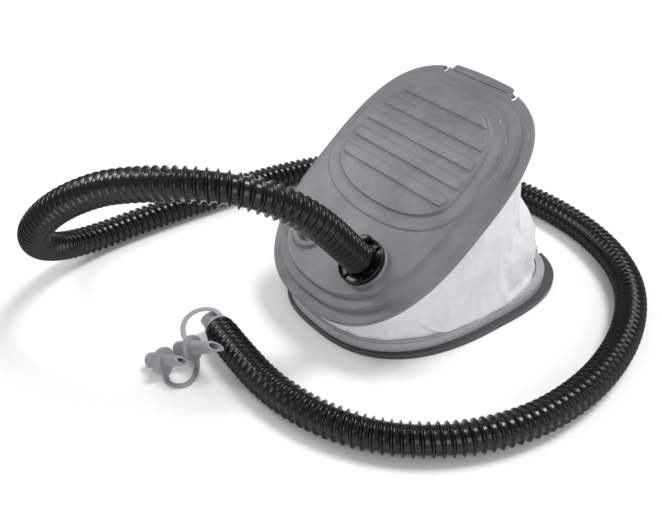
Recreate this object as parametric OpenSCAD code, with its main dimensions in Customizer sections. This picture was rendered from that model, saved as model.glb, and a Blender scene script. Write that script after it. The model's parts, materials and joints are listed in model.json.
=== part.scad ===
// Foot air pump: two moulded plates joined by a fabric bellows, with a bayonet hose and nozzles.
// Origin: centre of the footprint, on the floor. +Y runs from toe to heel, +Z is up.

/* [Plates] */
// Half of the plates' greatest width
half_width = 114.5; // [100:0.5:130]
// Distance from the widest line to the toe
toe_length = 148; // [130:1:165]
// Distance from the widest line to the full heel curve
heel_length = 141; // [125:1:155]
// Distance from the widest line to the straight heel edge
heel_cut = 137; // [122:1:139]
// Roundness exponent of the toe end
toe_round = 2.6; // [2:0.1:3.5]
// Roundness exponent of the heel end
heel_round = 3; // [2:0.1:4]
// Length of the grip tab behind the heel edge
tab_length = 7.5; // [4:0.5:12]
// Wall thickness of the mouldings
wall = 3; // [2:0.5:4]

/* [Treadle] */
// Angle between the treadle and the base when the pump is open
open_angle = 38.8; // [34:0.1:40]
// Height of the treadle's rim above the floor when it lies level
rim_z = 53.5; // [50:0.5:60]
// Depth of the skirt below the rim
skirt = 5.3; // [4:0.1:8]
// Height of the first terrace above the rim
terrace_1 = 6.4; // [4:0.2:8]
// Height of the port plateau above the rim
terrace_2 = 12.7; // [10:0.1:15]
// Height of the step around the foot pad
pad_step = 1.7; // [1:0.1:3]
// Height of the foot pad above the port plateau
pad_height = 3; // [2:0.1:5]
// Height of the tread bars above the pad
bar_height = 1.6; // [1:0.1:3]
// Spacing of the tread bars
bar_pitch = 21.7; // [18:0.1:24]
// Number of tread bars
bar_count = 5; // [3:1:5]

/* [Ports] */
// Distance of each port from the centre line
port_x = 42; // [38:1:46]
// Distance of the ports behind the treadle's toe
port_back = 66; // [60:1:70]
// Radius of the port's bore
port_r = 17.05; // [16:0.05:18]
// Radius of the hose flange
flange_r = 24; // [22:0.5:26]
// Lift of the valve discs
valve_lift = 3; // [2:0.5:3]

/* [Hose] */
// Outside diameter of the hose
hose_d = 32; // [28:1:34]
// Outside diameter of the end cuff
cuff_d = 21; // [19:0.5:24]
// Length of the end cuff
cuff_length = 22; // [18:1:26]
// Bore of the end cuff
cuff_bore = 15; // [13:0.5:16]

/* [Hidden] */
$fn = 64;
eps = 0.1;
gap = 0.3;
outline_points = 90;

// The toe of the open treadle reaches in front of the base; the footprint is centred on both.
hinge_back = 19;
hinge_z = 27;
treadle_shift = 1;
toe_in = hinge_back - treadle_shift;
toe_reach = toe_in * cos(open_angle) + (rim_z - hinge_z) * sin(open_angle) - hinge_back;
toe_y = -(toe_length + heel_cut + tab_length - toe_reach) / 2;
wide_y = toe_y + toe_length;
hinge_y = toe_y + hinge_back;

flange_band = 5.5;
rim_inset = 7;
rim_back = 5;
rim_width = 8;
rim_top = 17;
cloth = 1.2;
cloth_inset_top = 8;
deck_z = rim_z - wall;
plateau_z = rim_z + terrace_2;
pad_z = plateau_z + pad_height;
port_y = toe_y + treadle_shift + port_back;
collar_top = plateau_z + 2.5;
seat_z = collar_top - 14;
pin_r = 2.5;
pin_fit = 0.05;
wire_r = 1.6;
spring_y = toe_y + 159;
spring_r = 22;
spring_turns = 8;
floor_z = hose_d / 2;

// Outline of the plates, drawn in from the edge by inset.
function sgn(v) = v < 0 ? -1 : 1;
function bulge(v, n) = sgn(v) * pow(abs(v), 2 / n);
function oval_point(t, inset) =
    let (back = sin(t) > 0)
    let (n = back ? heel_round : toe_round)
    let (reach = (back ? heel_length : toe_length) - inset)
    [(half_width - inset) * bulge(cos(t), n), min(reach * bulge(sin(t), n), heel_cut - inset)];
function oval(inset, n = outline_points) = [for (i = [0:n - 1]) oval_point(360 * i / n, inset)];

// Egg shape of the foot pad, grown by more.
pad_wide = 80;
pad_toe = 43;
pad_heel = 90;
pad_back = 165;
function pad_point(t, more) =
    let (back = sin(t) > 0)
    let (reach = back ? pad_heel + min(more, 5) : pad_toe + more)
    [(pad_wide + more) * bulge(cos(t), back ? 3 : 2.3), reach * bulge(sin(t), back ? 3 : 2.3)];
function pad_egg(more) = [for (i = [0:59]) pad_point(6 * i, more)];

// Wings of the port plateau, which run out to the rim beside the ports.
plateau_inset = 22.5;
wing = [[82, 44], [105, 103], [106, 160], [88, 208]];
function wings(d) = concat([for (p = wing) [p[0] - d, p[1]]],
    [for (i = [len(wing) - 1:-1:0]) [d - wing[i][0], wing[i][1]]]);

module slab(inset, low, high) {
    translate([0, 0, low])
        linear_extrude(high - low)
            polygon(oval(inset));
}

// Ring between two outlines, with its lower and upper face.
module band(outer, inner, low, high) {
    difference() {
        slab(outer, low, high);
        slab(inner, low - 1, high + 1);
    }
}

// Keyhole notches on both sides of the heel tab.
module notches(low, high) {
    for (side = [-1, 1]) {
        translate([side * 47.5, heel_cut - 3, low])
            cylinder(h = high - low, r = 3.4);
        translate([side * 47.5 - 2.2, heel_cut - 3, low])
            cube([4.4, 12, high - low]);
    }
}

module heel_tab(low, high) {
    tab = [for (x = [-39:13:39]) [x, heel_cut + tab_length - 1.5 * pow(x / 39, 2)]];
    translate([0, 0, low])
        linear_extrude(high - low)
            polygon(concat([[-41.5, heel_cut - 1]], tab, [[41.5, heel_cut - 1]]));
}

module on_base() {
    translate([0, wide_y, 0])
        children();
}

// Turns what is drawn level with the closed treadle up to the open position.
module on_treadle() {
    translate([0, hinge_y, hinge_z])
        rotate([open_angle, 0, 0])
            translate([0, -hinge_y, -hinge_z])
                children();
}

module on_plate() {
    on_treadle()
        translate([0, wide_y + treadle_shift, 0])
            children();
}

module at_port(side) {
    on_treadle()
        translate([side * port_x, port_y, 0])
            children();
}

module tube(outer, inner, low, high) {
    translate([0, 0, low])
        difference() {
            cylinder(h = high - low, r = outer);
            translate([0, 0, -1])
                cylinder(h = high - low + 2, r = inner);
        }
}

// Points spaced round an outline, for screws.
function screw_spots(inset, count) =
    [for (i = [0:count - 1]) oval_point(360 * (i + 0.5) / count, inset)];

base_spots = screw_spots(rim_inset + rim_width / 2, 12);
treadle_spots = screw_spots(15, 10);

module hinge_lug(x) {
    difference() {
        union() {
            translate([x - 2, hinge_y, hinge_z])
                rotate([0, 90, 0])
                    cylinder(h = 4, r = 5);
            translate([x - 2, hinge_y - 4.2, 1])
                cube([4, 8.4, hinge_z - 1]);
        }
        translate([x - 3, hinge_y, hinge_z])
            rotate([0, 90, 0])
                cylinder(h = 6, r = pin_r);
    }
}

module base_plate() {
    color("#3d4044") {
        difference() {
            on_base() {
                union() {
                    slab(0, 0, wall);
                    band(0, rim_inset + 12, 0, flange_band);
                    heel_tab(0, flange_band);
                    translate([0, -rim_back, 0])
                        band(rim_inset + rim_width + 2 * gap + cloth, rim_inset + rim_width + 5, 1, 15);
                    for (x = [-50, 50])
                        translate([x - 1.2, -70, 1])
                            cube([2.4, 170, 9]);
                    for (y = [-60, 70])
                        translate([-80, y, 1])
                            cube([160, 2.4, 9]);
                }
            }
            on_base()
                notches(-1, flange_band + 1);
            on_base()
                translate([0, -rim_back, 0])
                    for (p = base_spots)
                        translate([p[0], p[1], -1]) {
                            cylinder(h = 20, r = 1.6);
                            cylinder(h = 3.2, r = 3.2);
                        }
        }
        for (x = [-28.5, -15.5, 15.5, 28.5])
            hinge_lug(x);
        translate([0, spring_y, 0])
            tube(spring_r + 6, spring_r + 3, 1, 9);
    }
}

module base_rim() {
    color("#9a9ca0")
        on_base()
            translate([0, -rim_back, 0])
                difference() {
                    union() {
                        band(rim_inset, rim_inset + rim_width, flange_band, rim_top - 2);
                        band(rim_inset + 1.5, rim_inset + rim_width, rim_top - 2.5, rim_top);
                    }
                    for (p = base_spots)
                        translate([p[0], p[1], 0])
                            cylinder(h = 13, r = 1.5);
                }
}

// Fabric wall: each layer lies between the lower and the upper outline and sags inwards a little.
cloth_rows = 9;
cloth_low = 6;
cloth_high = deck_z - gap;
cloth_sag = 0.035;
function lower_edge(t, inset, z) =
    let (p = oval_point(t, inset))
    [p[0], p[1] + wide_y - rim_back, z];
function upper_edge(t, inset, z) =
    let (p = oval_point(t, inset))
    let (y = p[1] + wide_y + treadle_shift - hinge_y)
    let (h = z - hinge_z)
    [p[0], hinge_y + y * cos(open_angle) - h * sin(open_angle),
        hinge_z + y * sin(open_angle) + h * cos(open_angle)];
function cloth_point(t, row, side) =
    let (low_inset = rim_inset + rim_width + gap + side * cloth)
    let (high_inset = cloth_inset_top + side * cloth)
    let (a = lower_edge(t, low_inset, rim_top))
    let (b = upper_edge(t, high_inset, deck_z - wall - 0.5))
    let (k = (row - 1) / (cloth_rows - 1))
    let (pull = 1 - cloth_sag * 4 * k * (1 - k))
    row == 0 ? lower_edge(t, low_inset, cloth_low) :
    row > cloth_rows ? upper_edge(t, high_inset, cloth_high) :
    let (m = a + (b - a) * k)
    [m[0] * pull, m[1] > wide_y ? wide_y + (m[1] - wide_y) * pull : m[1], m[2]];

module bellows() {
    n = outline_points;
    rows = cloth_rows + 2;
    outside = [for (r = [0:rows - 1], i = [0:n - 1]) cloth_point(360 * i / n, r, 0)];
    inside = [for (r = [0:rows - 1], i = [0:n - 1]) cloth_point(360 * i / n, r, 1)];
    m = rows * n;
    walls = [for (r = [0:rows - 2], i = [0:n - 1])
        let (j = (i + 1) % n)
        each [[r * n + i, (r + 1) * n + i, (r + 1) * n + j, r * n + j],
            [m + r * n + i, m + r * n + j, m + (r + 1) * n + j, m + (r + 1) * n + i]]];
    hems = [for (i = [0:n - 1])
        let (j = (i + 1) % n)
        let (top = (rows - 1) * n)
        each [[i, j, m + j, m + i], [top + i, m + top + i, m + top + j, top + j]]];
    color("#e4e6e8")
        polyhedron(concat(outside, inside), concat(walls, hems), convexity = 6);
}

module hinge_pin() {
    color("silver")
        translate([-31, hinge_y, hinge_z])
            rotate([0, 90, 0])
                cylinder(h = 62, r = pin_r);
}

// The spring bends round the line in which the base and the treadle's deck would meet.
spring_low = wall + wire_r + eps;
spring_top = plateau_z - wall - wire_r - eps;
spring_axis_y = hinge_y - (spring_top - hinge_z + (hinge_z - spring_low) * cos(open_angle)) / sin(open_angle);
spring_arc = spring_y - spring_axis_y;
function spring_point(k) =
    let (turn = 360 * spring_turns * k)
    let (r = spring_r - 5 * k)
    let (a = open_angle * k)
    let (reach = spring_arc + r * sin(turn))
    [r * cos(turn), spring_axis_y + reach * cos(a), spring_low + reach * sin(a)];

module return_spring() {
    steps = spring_turns * 20;
    color("silver")
        sweep([for (i = [0:steps]) spring_point(i / steps)], wire_r, wire_r, 6);
}

module base_screws() {
    color("silver")
        on_base()
            translate([0, -rim_back, 0])
                for (p = base_spots)
                    translate([p[0], p[1], 0]) {
                        translate([0, 0, 0.4])
                            cylinder(h = 1.8, r = 3);
                        translate([0, 0, 1])
                            cylinder(h = 11.9, r = 1.5);
                    }
}

module plateau(inset, low, high) {
    slab(plateau_inset + inset, low, high);
    translate([0, -toe_length, low])
        linear_extrude(high - low)
            polygon(wings(inset));
}

module pad(more, low, high) {
    translate([0, pad_back - toe_length, low])
        linear_extrude(high - low)
            polygon(pad_egg(more));
}

module tread_bars() {
    intersection() {
        pad(-4, pad_z - 1, pad_z + bar_height);
        for (i = [0:bar_count - 1])
            translate([-100, 149 + bar_pitch * i - toe_length, pad_z - 1])
                cube([200, 11, 10]);
    }
}

module collar_blank(side) {
    translate([side * port_x, port_back - toe_length, 0]) {
        translate([0, 0, seat_z])
            cylinder(h = collar_top - seat_z, r = flange_r - 1);
    }
}

// Bore with two bayonet slots, which opens into a wider chamber below the ledge.
module port_cut(side) {
    translate([side * port_x, port_back - toe_length, 0]) {
        translate([0, 0, seat_z - 10])
            cylinder(h = 40, r = port_r);
        translate([0, 0, seat_z - 10])
            cylinder(h = 18.5, r = port_r + 2.2);
        for (a = [60, 240])
            rotate([0, 0, a])
                translate([0, -4.5, seat_z])
                    cube([port_r + 2.2, 9, 30]);
    }
}

module hinge_arms() {
    for (x = [-22, 22])
        translate([0, hinge_y, hinge_z])
            difference() {
                union() {
                    translate([x - 4, 0, 0])
                        rotate([0, 90, 0])
                            cylinder(h = 8, r = 5);
                    translate([x - 4, -4, 0])
                        cube([8, 8, deck_z - hinge_z + 1]);
                }
                translate([x - 5, 0, 0])
                    rotate([0, 90, 0])
                        cylinder(h = 10, r = pin_r + pin_fit);
            }
}

module top_plate() {
    color("#85878b") {
        on_plate()
            difference() {
                union() {
                    difference() {
                        union() {
                            slab(0, rim_z - skirt, rim_z);
                            slab(11.5, rim_z - 1, rim_z + terrace_1);
                            plateau(0, rim_z - 1, plateau_z);
                            pad(15, plateau_z - 1, plateau_z + pad_step);
                            pad(0, plateau_z - 1, pad_z);
                            heel_tab(rim_z - skirt, rim_z - 1);
                            tread_bars();
                        }
                        slab(wall, rim_z - skirt - 1, deck_z);
                        slab(11.5 + wall, deck_z - 1, deck_z + terrace_1);
                        plateau(wall, deck_z - 1, plateau_z - wall);
                    }
                    collar_blank(1);
                    collar_blank(-1);
                    for (p = treadle_spots)
                        translate([p[0], p[1], deck_z])
                            cylinder(h = 6, r = 3.4);
                    translate([0, spring_y - wide_y + 4.3, plateau_z - wall - 6])
                        tube(spring_r + 4, spring_r + 1, 0, 7);
                }
                port_cut(1);
                port_cut(-1);
                notches(rim_z - skirt - 1, rim_z + 1);
                for (p = treadle_spots)
                    translate([p[0], p[1], deck_z - 1])
                        cylinder(h = 6, r = 1.3);
                translate([-38, heel_cut - 1.5, rim_z - 1])
                    cube([76, 1.2, 2]);
            }
        on_treadle()
            hinge_arms();
    }
}

module bellows_ring() {
    color("#6f7276")
        on_plate()
            difference() {
                band(cloth_inset_top + cloth + gap, cloth_inset_top + cloth + gap + 10, deck_z - wall, deck_z);
                for (p = treadle_spots)
                    translate([p[0], p[1], deck_z - 5])
                        cylinder(h = 10, r = 1.4);
                for (x = [-22, 22])
                    translate([x - 4.4, toe_in - 4.4 - toe_length, deck_z - wall - 1])
                        cube([8.8, 14, wall + 2]);
            }
}

module treadle_screws() {
    color("silver")
        on_plate()
            for (p = treadle_spots)
                translate([p[0], p[1], 0]) {
                    translate([0, 0, deck_z - wall - 1.8])
                        cylinder(h = 1.8, r = 2.6);
                    translate([0, 0, deck_z - wall - 1])
                        cylinder(h = wall + 5.8, r = 1.3);
                }
}

seat_r = 11.5;
disc_thick = 1.4;

// Spoked seat with a guide stem; the disc sits above it (up = 1) or hangs below it (up = -1).
module valve_seat(low, up) {
    ring_high = low + 3;
    tube(port_r + 2.2, seat_r, low, ring_high);
    for (a = [0:60:300])
        rotate([0, 0, a])
            translate([3, -1.2, low])
                cube([seat_r - 2, 2.4, 3]);
    translate([0, 0, low])
        cylinder(h = 3, r = 4);
    reach = valve_lift + disc_thick + 2 * eps;
    stem_low = up > 0 ? low + 1 : low - reach - 1;
    translate([0, 0, stem_low])
        cylinder(h = reach + 3, r = 2);
    head_low = up > 0 ? ring_high + reach : low - reach - 1.5;
    translate([0, 0, head_low])
        cylinder(h = 1.5, r = 3.4);
}

module valve_disc(low) {
    tube(seat_r + 1.7, 2 + pin_fit, low, low + disc_thick);
}

module outlet_valve_seat() {
    color("#6f7276")
        at_port(1)
            valve_seat(seat_z, 1);
}

module outlet_valve_disc() {
    color("#2a2b2d")
        at_port(1)
            valve_disc(seat_z + 3 + eps);
}

module intake_valve_seat() {
    color("#6f7276")
        at_port(-1)
            valve_seat(seat_z, -1);
}

module intake_valve_disc() {
    color("#2a2b2d")
        at_port(-1)
            valve_disc(seat_z - eps - disc_thick);
}

gasket = 1.2;
spigot_bore = 13.6;
flange_low = collar_top + eps + gasket;
flange_high = flange_low + 3.2;

module hose_flange() {
    color("#18191b")
        at_port(1) {
            tube(flange_r, spigot_bore, flange_low, flange_high);
            tube(flange_r, flange_r - 2, flange_high - 1, flange_high + 3);
            for (a = [0:60:300])
                rotate([0, 0, a + 15])
                    translate([flange_r - 5, -1.2, flange_high - 1])
                        cube([4, 2.4, 3]);
            rotate([0, 0, 120])
                translate([flange_r - 3, -5, flange_low])
                    cube([5.5, 10, 7.5]);
            tube(port_r - pin_fit, spigot_bore, seat_z + 9, flange_low + 1);
            for (a = [0, 180])
                rotate([0, 0, a])
                    intersection() {
                        tube(port_r + 2, spigot_bore + eps, seat_z + 5.2, seat_z + 8.3);
                        translate([0, -4.2, seat_z])
                            cube([port_r + 4, 8.4, 20]);
                    }
            tube(port_r - 1, spigot_bore, seat_z + 5.2, seat_z + 10);
        }
}

module flange_gasket() {
    color("#111111")
        at_port(1)
            tube(port_r + 4.5, port_r + 0.05, collar_top + eps, flange_low);
}

// Closed tube along a line of points, with an oval section half_wide by half_thick.
module sweep(line, half_wide, half_thick, sides) {
    n = len(line);
    along = [for (i = [0:n - 1]) line[min(i + 1, n - 1)] - line[max(i - 1, 0)]];
    dir = [for (v = along) v / norm(v)];
    across = [for (v = dir) let (c = cross([0, 0, 1], v)) c / norm(c)];
    ups = [for (i = [0:n - 1]) cross(dir[i], across[i])];
    points = [for (i = [0:n - 1], k = [0:sides - 1])
        let (a = 360 * (k + 0.5) / sides)
        line[i] + across[i] * half_wide * cos(a) + ups[i] * half_thick * sin(a)];
    skin = [for (i = [0:n - 2], k = [0:sides - 1])
        let (l = (k + 1) % sides)
        each [[i * sides + k, (i + 1) * sides + k, (i + 1) * sides + l],
            [i * sides + k, (i + 1) * sides + l, i * sides + l]]];
    first = [for (k = [0:sides - 1]) k];
    last = [for (k = [sides - 1:-1:0]) (n - 1) * sides + k];
    polyhedron(points, concat(skin, [first, last]), convexity = 10);
}

// Smooth line through the points of a route, with steps points for each span.
function at_route(route, i) = route[max(0, min(i, len(route) - 1))];
function blend_point(a, b, c, d, t) =
    0.5 * (2 * b + (c - a) * t + (2 * a - 5 * b + 4 * c - d) * t * t + (3 * b - a - 3 * c + d) * t * t * t);
function smooth(route, steps) = concat([for (i = [0:len(route) - 2], k = [0:steps - 1])
    blend_point(at_route(route, i - 1), route[i], route[i + 1], at_route(route, i + 2), k / steps)],
    [route[len(route) - 1]]);

// Where the hose stands on its flange, and the direction in which it leaves.
port_up = [0, -sin(open_angle), cos(open_angle)];
port_far = port_y - hinge_y;
port_rise = flange_high + 0.5 - hinge_z;
hose_start = [port_x, hinge_y + port_far * cos(open_angle) - port_rise * sin(open_angle),
    hinge_z + port_far * sin(open_angle) + port_rise * cos(open_angle)];

// Route of the hose: up from the treadle, over to the left, down to the floor and round the heel.
hose_route = concat([hose_start, hose_start + 22 * port_up], [
    [41, -156, 146], [35, -180, 169], [25, -207, 187], [8, -234, 197], [-15, -260, 199],
    [-46, -283, 193], [-82, -304, 180], [-118, -324, 158], [-150, -337, 132], [-180, -342, 103],
    [-208, -336, 74], [-233, -319, 48], [-253, -290, 28], [-265, -252, 18],
    [-270, -208, floor_z], [-271, -150, floor_z], [-270, -92, floor_z], [-267, -34, floor_z],
    [-259, 22, floor_z], [-242, 78, floor_z], [-210, 130, floor_z], [-164, 172, floor_z],
    [-110, 199, floor_z], [-52, 211, floor_z], [8, 214, floor_z], [66, 206, floor_z],
    [120, 185, floor_z], [165, 151, floor_z], [200, 103, floor_z], [224, 48, floor_z],
    [237, -12, floor_z], [236, -76, floor_z], [216, -137, floor_z], [178, -187, floor_z],
    [126, -219, floor_z], [66, -233, floor_z], [6, -231, floor_z], [-38, -226.5, floor_z]]);
hose_line = [for (p = smooth(hose_route, 2)) [p[0], p[1], max(p[2], floor_z)]];
hose_end = [-38, -226.5, floor_z];

module hose() {
    color("#1b1c1e")
        sweep(hose_line, hose_d / 2, hose_d / 2, 12);
}

module at_hose_end() {
    translate(hose_end)
        rotate([0, 0, 174])
            rotate([0, 90, 0])
                children();
}

module hose_cuff() {
    color("#8c8f94")
        at_hose_end() {
            difference() {
                union() {
                    translate([0, 0, eps])
                        cylinder(h = 3, r = hose_d / 2 - 2);
                    translate([0, 0, 1])
                        cylinder(h = cuff_length, r = cuff_d / 2);
                }
                translate([0, 0, -1])
                    cylinder(h = cuff_length + 4, r = cuff_bore / 2);
                translate([0, 0, cuff_length - 1])
                    rotate([0, -20, 0])
                        translate([-30, -30, 0])
                            cube([60, 60, 30]);
            }
        }
}

// Nozzle pointing along its own +Z, with its stub behind the disc and a slanted open tip.
disc_r = 12.6;
disc_high = 3;
mouth_slant = 61;
module nozzle(length, root_r, tip_r, stub) {
    stub_r = cuff_bore / 2 - 0.1;
    difference() {
        rotate_extrude()
            polygon([[tip_r - 1.3, length], [tip_r, length], [root_r, disc_high], [disc_r, disc_high],
                [disc_r, 0], [stub_r, 0], [stub_r, -stub], [4, -stub], [4, 0]]);
        translate([0, 0, length - 9])
            rotate([0, -mouth_slant, 0])
                translate([-30, -30, 0])
                    cube([60, 60, 30]);
    }
}

// Each nozzle stands on the end of its stub, with its tip raised by tilt.
module propped(place, turn, tilt) {
    translate(place)
        rotate([0, 0, turn])
            rotate([0, 90 - tilt, 0])
                children();
}

module large_nozzle() {
    color("#8c8f94")
        propped([-27.7, -263.4, 16.3], 20, 27)
            nozzle(44, 7.6, 4.5, 19);
}

module small_nozzle() {
    color("#8c8f94")
        propped([-29.8, -292.6, 14.5], 21, 23)
            nozzle(36, 6.2, 3.3, 18);
}

strap_wide = 2.5;
strap_thick = 1;

module strap(route) {
    color("#8c8f94")
        sweep(smooth(route, 4), strap_wide, strap_thick, 8);
}

module large_nozzle_strap() {
    strap([[-44, -222, 27.8], [-50, -223.5, 30], [-55, -231, 32], [-56, -242, 33], [-52, -253, 33],
        [-44, -261.5, 32], [-38, -265.5, 30.8], [-33.9, -267, 29.7]]);
}

module small_nozzle_strap() {
    strap([[-21.2, -262, 3.2], [-15, -266, 1.6], [-5, -275, 1.3], [-1, -285, 1.3], [-5, -294, 1.3],
        [-13, -297.5, 1.3], [-19, -296.5, 1.4], [-22.4, -294.6, 1.7]]);
}

base_plate();
base_rim();
bellows();
hinge_pin();
return_spring();
base_screws();
top_plate();
bellows_ring();
treadle_screws();
outlet_valve_seat();
outlet_valve_disc();
intake_valve_seat();
intake_valve_disc();
hose_flange();
flange_gasket();
hose();
hose_cuff();
large_nozzle();
small_nozzle();
large_nozzle_strap();
small_nozzle_strap();
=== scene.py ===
"""Looks of the foot air pump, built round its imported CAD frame.

The pump's shape is drawn in mm, and turned into metres as each mesh is made.
"""
import json
import math

import bmesh
import bpy
import numpy as np
from mathutils import Matrix, Vector
from mathutils import noise as turbulence


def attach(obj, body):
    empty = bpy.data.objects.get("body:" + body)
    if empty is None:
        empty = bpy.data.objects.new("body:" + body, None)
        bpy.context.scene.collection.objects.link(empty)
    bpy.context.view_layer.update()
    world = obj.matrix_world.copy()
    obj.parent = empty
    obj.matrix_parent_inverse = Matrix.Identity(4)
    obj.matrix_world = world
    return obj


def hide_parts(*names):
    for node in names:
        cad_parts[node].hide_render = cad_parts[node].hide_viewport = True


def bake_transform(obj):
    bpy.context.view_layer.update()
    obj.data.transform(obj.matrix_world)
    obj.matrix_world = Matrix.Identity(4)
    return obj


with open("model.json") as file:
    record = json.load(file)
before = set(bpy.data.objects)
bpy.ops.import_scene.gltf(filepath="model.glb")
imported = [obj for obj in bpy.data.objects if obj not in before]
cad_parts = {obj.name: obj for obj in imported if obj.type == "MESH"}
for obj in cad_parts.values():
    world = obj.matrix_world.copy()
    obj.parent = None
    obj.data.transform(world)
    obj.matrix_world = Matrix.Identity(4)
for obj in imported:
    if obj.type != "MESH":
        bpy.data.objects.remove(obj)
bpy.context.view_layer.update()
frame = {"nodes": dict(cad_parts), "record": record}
MM = 0.001

# Shape of the pump in mm, as in its CAD source. Lengths run from the widest line.
HALF_WIDTH = 114.5
TOE_LENGTH = 148
HEEL_LENGTH = 141
HEEL_CUT = 137
TOE_ROUND = 2.6
HEEL_ROUND = 3
OPEN = math.radians(38.8)
HINGE_BACK = 19
HINGE_Z = 27
TREADLE_SHIFT = 1
RIM_Z = 53.5
GRIP_REACH = 7.5
TOE_REACH = ((HINGE_BACK - TREADLE_SHIFT) * math.cos(OPEN)
             + (RIM_Z - HINGE_Z) * math.sin(OPEN) - HINGE_BACK)
TOE_Y = -(TOE_LENGTH + HEEL_CUT + GRIP_REACH - TOE_REACH) / 2
WIDE_Y = TOE_Y + TOE_LENGTH
HINGE_Y = TOE_Y + HINGE_BACK
RIM_BACK = 5
DECK_RISE = 12.7
COLLAR_RISE = 2.5
WALL = 3.2
PORT_X = 42
PORT_V = 66  # from the toe, along the level treadle
PORT_Y = TOE_Y + TREADLE_SHIFT + PORT_V
COLLAR_TOP = RIM_Z + DECK_RISE + COLLAR_RISE
GASKET_GAP = 0.1
GASKET = 1.2
FLANGE_FLOOR = 3.2
FLANGE_TOP = COLLAR_TOP + GASKET_GAP + GASKET + FLANGE_FLOOR
HOSE_D = 32
HOSE_LOW = HOSE_D / 2


def open_up(x, y, z):
    """A point drawn on the level treadle, in mm, turned up to the open position."""
    c, s = math.cos(OPEN), math.sin(OPEN)
    y, z = y - HINGE_Y, z - HINGE_Z
    return np.array([x, HINGE_Y + y * c - z * s, HINGE_Z + y * s + z * c])


def ease(value, low, high):
    """A smooth step from 0 at low to 1 at high."""
    t = np.clip((value - low) / (high - low), 0, 1)
    return t * t * (3 - 2 * t)


def arc_length(line):
    return np.concatenate([[0], np.cumsum(np.linalg.norm(np.diff(line, axis=0), axis=1))])


def outline(inset, count):
    """Outline of both plates in mm, round their widest line, drawn in from the edge by inset."""
    t = np.arange(count) / count * 2 * np.pi
    back = np.sin(t) > 0
    power = 2 / np.where(back, HEEL_ROUND, TOE_ROUND)
    reach = np.where(back, HEEL_LENGTH, TOE_LENGTH) - inset
    x = (HALF_WIDTH - inset) * np.sign(np.cos(t)) * np.abs(np.cos(t)) ** power
    y = reach * np.sign(np.sin(t)) * np.abs(np.sin(t)) ** power
    return x, np.minimum(y, HEEL_CUT - inset)


def even_outline(inset, count):
    """The same outline with its points evenly spaced."""
    ring = np.stack(outline(inset, 4 * count), 1)
    ring = np.vstack([ring, ring[:1]])
    s = arc_length(ring)
    at = np.linspace(0, s[-1], count, endpoint=False)
    return np.interp(at, s, ring[:, 0]), np.interp(at, s, ring[:, 1])


# ---------------------------------------------------------------- camera, floor and light

CAMERA_SENSOR = 36
CAMERA_LENS = 47.18
CAMERA_PLACE = (0.5662, -0.5432, 0.5485)
CAMERA_LOOK = (-0.66238, 0.49871, -0.55905)
LIT_CENTRE = (0, 0, 0.08)
FLOOR_REACH = 9


def make_camera():
    data = bpy.data.cameras.new("camera")
    data.sensor_width = CAMERA_SENSOR
    data.lens = CAMERA_LENS
    data.clip_start = 0.01
    data.clip_end = 50
    camera = bpy.data.objects.new("camera", data)
    camera.location = CAMERA_PLACE
    look = Vector(CAMERA_LOOK)
    camera.rotation_mode = "QUATERNION"
    camera.rotation_quaternion = look.to_track_quat("-Z", "Y")
    bpy.context.collection.objects.link(camera)
    bpy.context.scene.camera = camera


def area_light(name, place, size, power):
    data = bpy.data.lights.new(name, "AREA")
    data.shape = "RECTANGLE"
    data.size, data.size_y = size
    data.energy = power
    light = bpy.data.objects.new(name, data)
    light.location = place
    way = Vector(LIT_CENTRE) - Vector(place)
    light.rotation_mode = "QUATERNION"
    light.rotation_quaternion = way.to_track_quat("-Z", "Y")
    bpy.context.collection.objects.link(light)


def sun_light(name, from_way, strength, spread):
    """A very large, far softbox: even light over the whole floor."""
    data = bpy.data.lights.new(name, "SUN")
    data.energy = strength
    data.angle = spread
    light = bpy.data.objects.new(name, data)
    light.rotation_mode = "QUATERNION"
    light.rotation_quaternion = (-Vector(from_way)).to_track_quat("-Z", "Y")
    bpy.context.collection.objects.link(light)


def make_studio():
    world = bpy.data.worlds.new("studio")
    bpy.context.scene.world = world
    world.use_nodes = True
    sky = world.node_tree.nodes["Background"]
    sky.inputs["Color"].default_value = (1, 1, 1, 1)
    sky.inputs["Strength"].default_value = 0.5
    sun_light("key", from_way=(0.05, 0.55, 1), strength=2.1, spread=0.4)
    area_light("fill", place=(1.5, -0.6, 0.7), size=(0.9, 0.8), power=8)
    area_light("side", place=(-1.2, -0.7, 1.1), size=(0.5, 0.9), power=9)
    bpy.context.scene.view_settings.view_transform = "Standard"


def make_floor():
    mesh = bpy.data.meshes.new("floor")
    r = FLOOR_REACH
    mesh.from_pydata([(-r, -r, 0), (r, -r, 0), (r, r, 0), (-r, r, 0)], [], [(0, 1, 2, 3)])
    floor = bpy.data.objects.new("floor", mesh)
    bpy.context.collection.objects.link(floor)
    material, *_ = new_material("floor", (0.9, 0.9, 0.9), 0.7)
    mesh.materials.append(material)


# ---------------------------------------------------------------- materials

def new_material(name, color, roughness, metallic=0.0):
    material = bpy.data.materials.new(name)
    material.use_nodes = True
    nodes, links = material.node_tree.nodes, material.node_tree.links
    shader = nodes["Principled BSDF"]
    shader.inputs["Base Color"].default_value = (*color, 1)
    shader.inputs["Roughness"].default_value = roughness
    shader.inputs["Metallic"].default_value = metallic
    return material, nodes, links, shader


def noise(nodes, links, scale, detail=3.0, rough=0.5, stretch=None):
    """A noise texture in the object's own space."""
    place = nodes.new("ShaderNodeTexCoord")
    texture = nodes.new("ShaderNodeTexNoise")
    texture.inputs["Scale"].default_value = scale
    texture.inputs["Detail"].default_value = detail
    texture.inputs["Roughness"].default_value = rough
    source = place.outputs["Object"]
    if stretch:
        mapping = nodes.new("ShaderNodeMapping")
        mapping.inputs["Scale"].default_value = stretch
        links.new(source, mapping.inputs["Vector"])
        source = mapping.outputs["Vector"]
    links.new(source, texture.inputs["Vector"])
    return texture.outputs["Fac"]


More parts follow.
